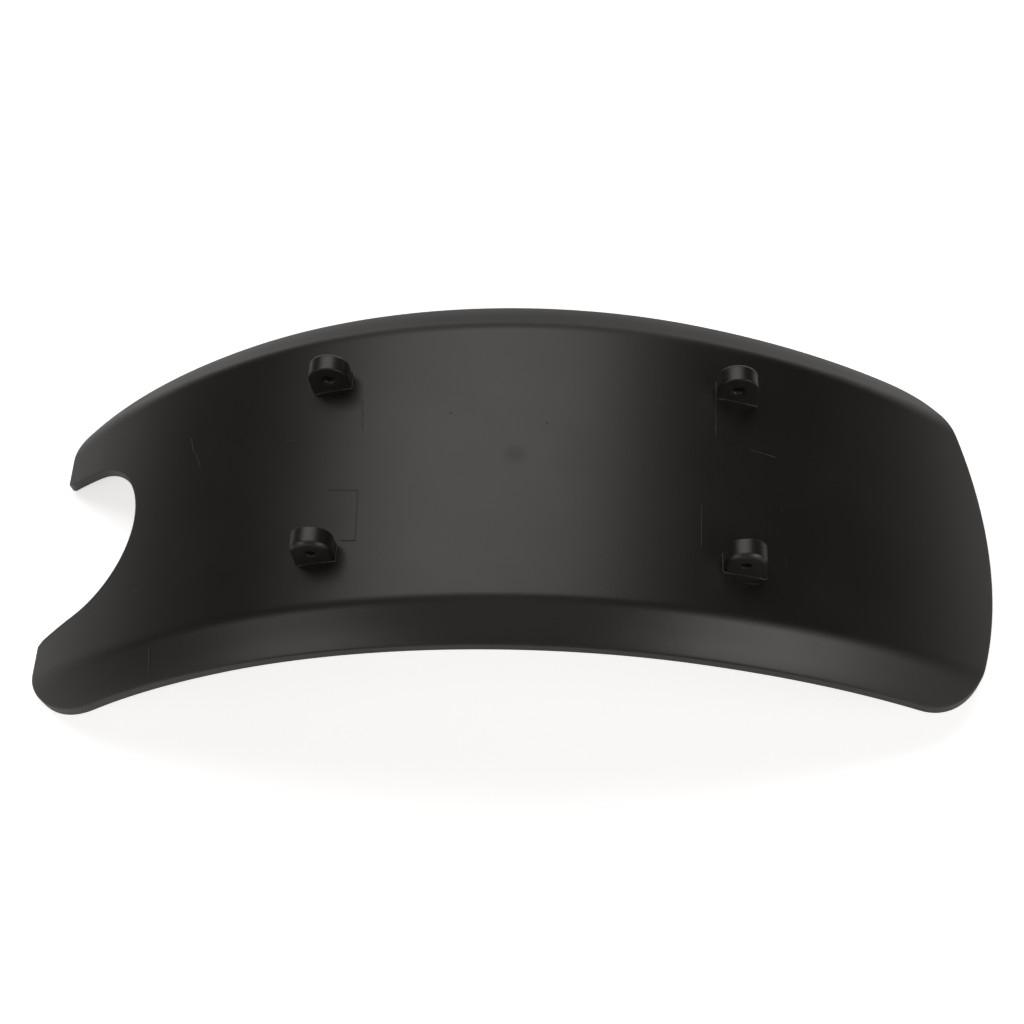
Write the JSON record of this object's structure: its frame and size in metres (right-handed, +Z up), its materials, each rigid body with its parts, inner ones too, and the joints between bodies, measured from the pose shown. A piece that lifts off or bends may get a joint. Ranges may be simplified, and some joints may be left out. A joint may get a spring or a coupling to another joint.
{
  "type": "scooter mudguard extension",
  "caption": "Curved black plastic mudguard shell with rounded sides and tail, a round notch in one end and drilled ears on its outer face.",
  "frame": {"origin": "middle of the footprint, level with the two ends the part lies on", "axes": "+X along the arc from the notched end to the rounded tail, +Y across the wheel, +Z up through the top of the arc"},
  "size_m": [0.2382, 0.0866, 0.0633],
  "materials": {
    "moulded_plastic": "satin moulded grain"
  },
  "bodies": {
    "root": {"shell": "moulded_plastic"}
  },
  "joints": []
}
